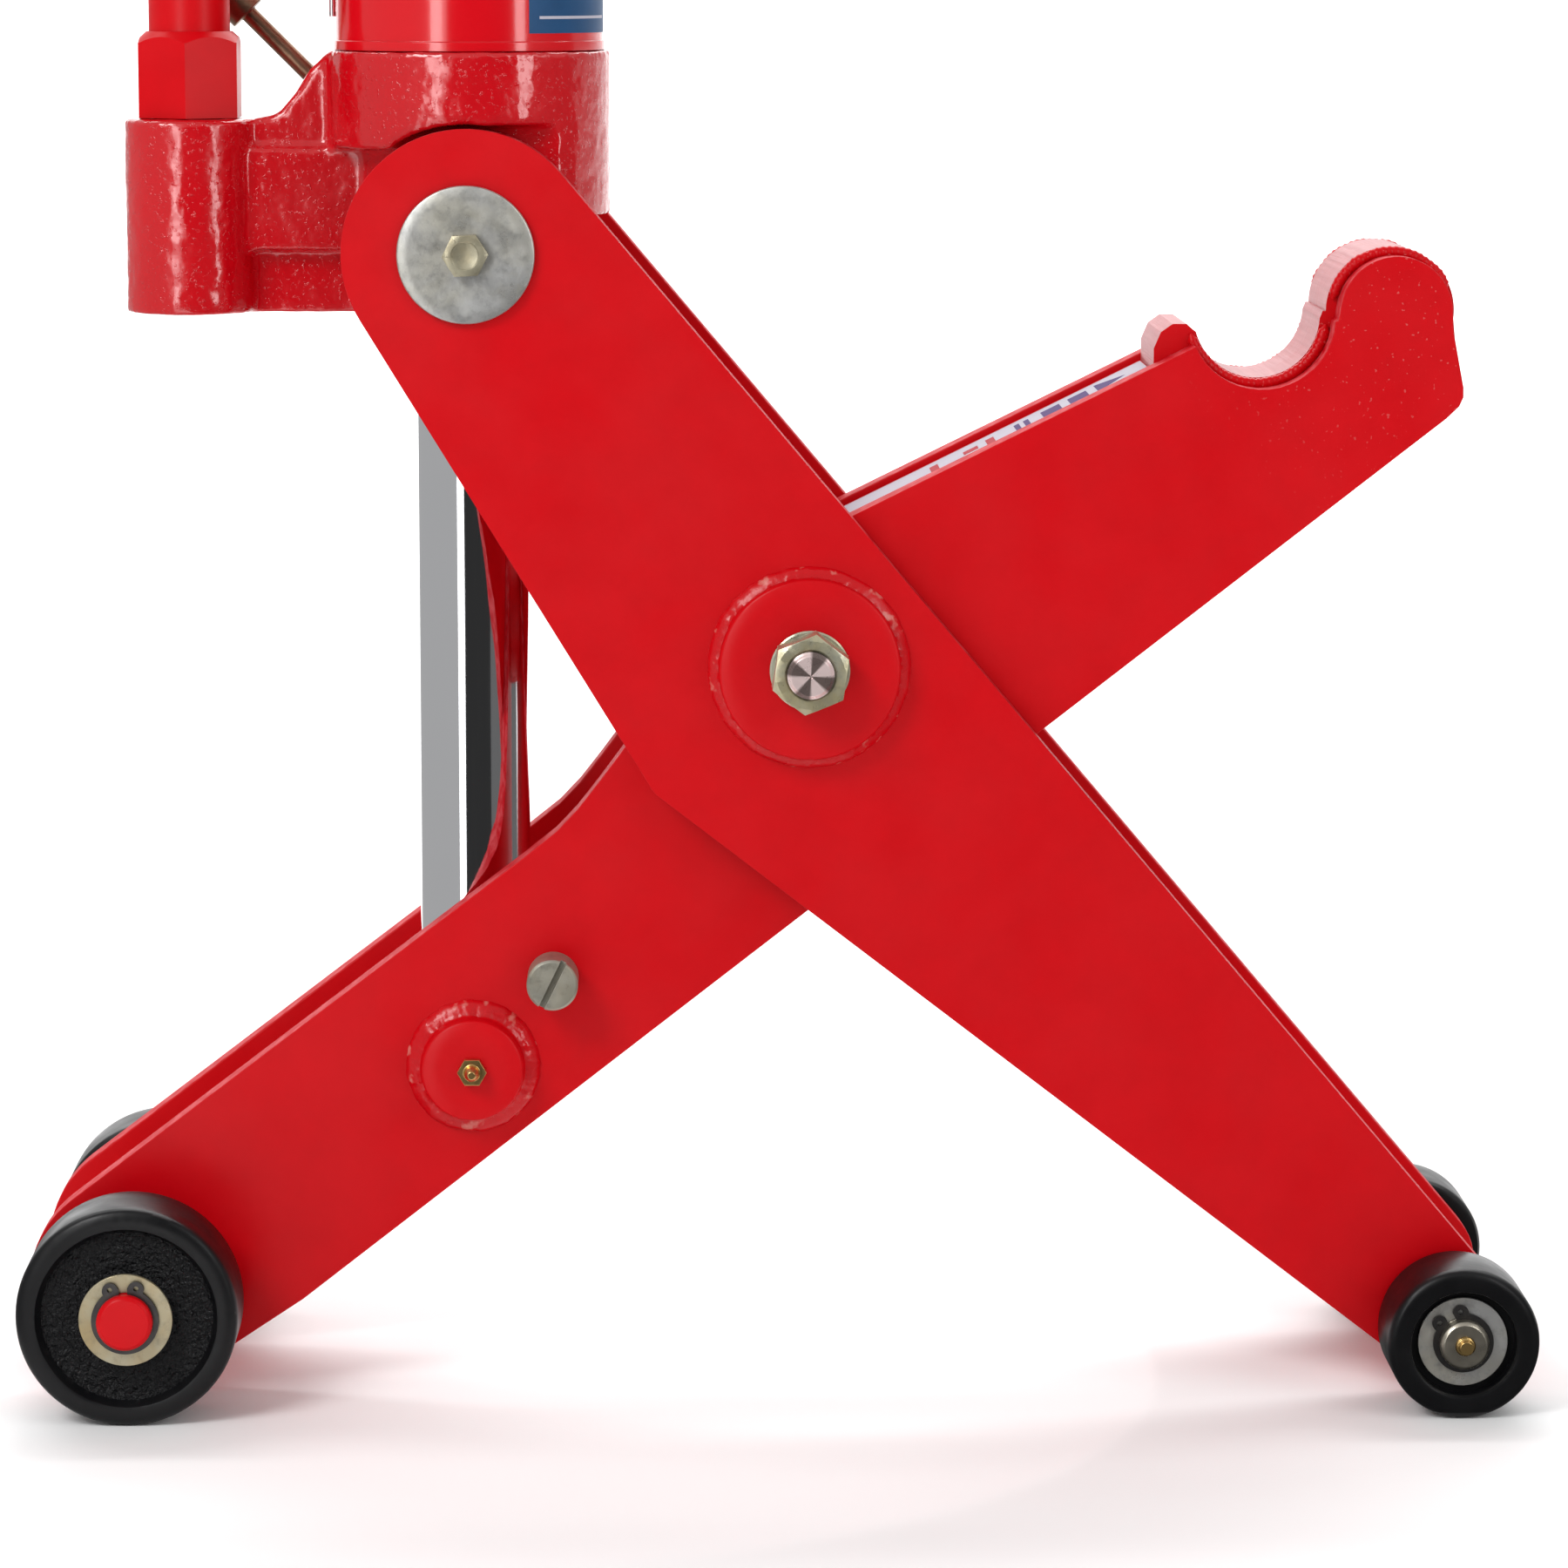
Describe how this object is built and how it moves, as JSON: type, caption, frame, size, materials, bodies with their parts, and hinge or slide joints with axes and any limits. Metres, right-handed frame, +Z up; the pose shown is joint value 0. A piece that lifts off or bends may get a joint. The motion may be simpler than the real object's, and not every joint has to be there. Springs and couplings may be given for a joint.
{
  "type": "hydraulic scissor jack",
  "caption": "Low-entry hydraulic scissor jack: crossed plate arms on rollers, hooked saddle, chromed ram, upright pump unit with reservoir and lever socket.",
  "frame": {"origin": "centre of the jack's overall box, at floor level", "axes": "+X towards the saddle and the front rollers, +Y across the jack away from the near side, +Z up"},
  "size_m": [0.6476, 0.224, 0.99],
  "materials": {
    "red_paint": "glossy red enamel on cut steel plate",
    "red_cast": "glossy red enamel with an orange-peel casting skin",
    "red_tube": "smooth glossy red enamel",
    "flame_cut": "thin red paint over flame-cut steel",
    "black_cast": "black painted rough casting",
    "black_turned": "satin black turned face",
    "zinc": "clear zinc plate",
    "yellow_zinc": "yellow passivated zinc plate",
    "brass": "turned brass",
    "chrome": "hard chrome",
    "steel": "bare machined steel",
    "spring_steel": "black phosphated spring steel",
    "black_paint": "satin black paint",
    "label": "printed vinyl",
    "rubber": "matt black",
    "bronzed": "dark brown bronzed steel"
  },
  "bodies": {
    "rear_axle_set": {"rear_axle": "red_paint", "rear_washer_near": "yellow_zinc", "rear_washer_far": "yellow_zinc", "rear_circlip_near": "spring_steel", "rear_circlip_far": "spring_steel"},
    "rear_roller_near_body": {"rear_roller_near": "black_cast"},
    "rear_roller_far_body": {"rear_roller_far": "black_cast"},
    "lift_arm": {"lift_plate_near": "red_paint", "lift_plate_far": "red_paint", "saddle_block": "flame_cut", "top_web": "red_paint", "height_label": "label", "lift_axle_tube": "red_paint", "pivot_tube": "red_paint", "lower_pin": "steel", "lower_boss_near": "red_paint", "lower_boss_far": "red_paint", "lower_nipple": "brass", "stop_stud_near": "zinc", "stop_stud_far": "zinc"},
    "side_arm": {"side_plate_near": "red_paint", "side_plate_far": "red_paint", "pivot_disc_near": "red_paint", "pivot_disc_far": "red_paint", "pivot_shaft": "zinc", "pivot_nut_near": "yellow_zinc", "pivot_nut_far": "yellow_zinc", "front_axle": "zinc", "front_tie_tube": "red_paint", "front_washer_near": "zinc", "front_washer_far": "zinc", "front_circlip_near": "spring_steel", "front_circlip_far": "spring_steel", "front_nipple_near": "brass", "front_nipple_far": "brass"},
    "front_roller_near_body": {"front_roller_near": "black_turned"},
    "front_roller_far_body": {"front_roller_far": "black_turned"},
    "hydraulic_unit": {"pump_block": "red_cast", "reservoir_tube": "red_tube", "pressure_cylinder": "steel", "top_cap": "red_tube", "gland": "steel", "rod_wiper": "rubber", "trunnion_washer_near": "zinc", "trunnion_washer_far": "zinc", "trunnion_bolt_near": "yellow_zinc", "trunnion_bolt_far": "yellow_zinc", "pump_cylinder": "red_paint", "filler_plug": "zinc", "carry_handle": "black_paint", "lever_bracket": "red_paint", "fulcrum_pin": "zinc", "wire_clip": "chrome"},
    "ram": {"ram_rod": "chrome", "ram_piston": "steel", "piston_seal": "rubber"},
    "pump_plunger_body": {"pump_plunger": "chrome"},
    "lever": {"lever_socket": "red_paint"},
    "release_valve": {"release_spindle": "bronzed"}
  },
  "joints": [
    {"name": "lift_hinge", "type": "hinge", "parent": "rear_axle_set", "child": "lift_arm", "pos_m": [-0.2766, 0, 0.047], "axis": [0, 1, 0], "range_deg": [-10, 34]},
    {"name": "side_hinge", "type": "hinge", "parent": "lift_arm", "child": "side_arm", "pos_m": [0.013, 0, 0.3185], "axis": [0, 1, 0], "range_deg": [-68.5, 20.3]},
    {"name": "unit_hinge", "type": "hinge", "parent": "side_arm", "child": "hydraulic_unit", "pos_m": [-0.1314, 0, 0.4935], "axis": [0, 1, 0], "range_deg": [-10.2, 34.5]},
    {"name": "ram_hinge", "type": "hinge", "parent": "lift_arm", "child": "ram", "pos_m": [-0.1314, 0, 0.1435], "axis": [0, 1, 0], "range_deg": [-34.2, 10.2]},
    {"name": "rear_roller_near_spin", "type": "hinge", "parent": "rear_axle_set", "child": "rear_roller_near_body", "pos_m": [-0.2766, 0, 0.047], "axis": [0, 1, 0], "continuous": true},
    {"name": "rear_roller_far_spin", "type": "hinge", "parent": "rear_axle_set", "child": "rear_roller_far_body", "pos_m": [-0.2766, 0, 0.047], "axis": [0, 1, 0], "continuous": true},
    {"name": "front_roller_near_spin", "type": "hinge", "parent": "side_arm", "child": "front_roller_near_body", "pos_m": [0.291, 0, 0.0325], "axis": [0, 1, 0], "continuous": true},
    {"name": "front_roller_far_spin", "type": "hinge", "parent": "side_arm", "child": "front_roller_far_body", "pos_m": [0.291, 0, 0.0325], "axis": [0, 1, 0], "continuous": true},
    {"name": "lever_hinge", "type": "hinge", "parent": "hydraulic_unit", "child": "lever", "pos_m": [-0.2062, 0, 0.838], "axis": [0, -1, 0], "range_deg": [0, 35]},
    {"name": "plunger_slide", "type": "slide", "parent": "hydraulic_unit", "child": "pump_plunger_body", "axis": [0, 0, -1], "range_m": [0, 0.0279]},
    {"name": "release_hinge", "type": "hinge", "parent": "hydraulic_unit", "child": "release_valve", "pos_m": [-0.197, 0.028, 0.562], "axis": [-0.7071, 0, 0.7071], "range_deg": [0, 360]}
  ],
  "couplings": [
    {"joint": "side_hinge", "follows": "lift_hinge", "ratio": -2.01},
    {"joint": "unit_hinge", "follows": "lift_hinge", "ratio": 1.01},
    {"joint": "ram_hinge", "follows": "lift_hinge", "ratio": -1},
    {"joint": "plunger_slide", "follows": "lever_hinge", "m_per_rad": 0.0456}
  ]
}
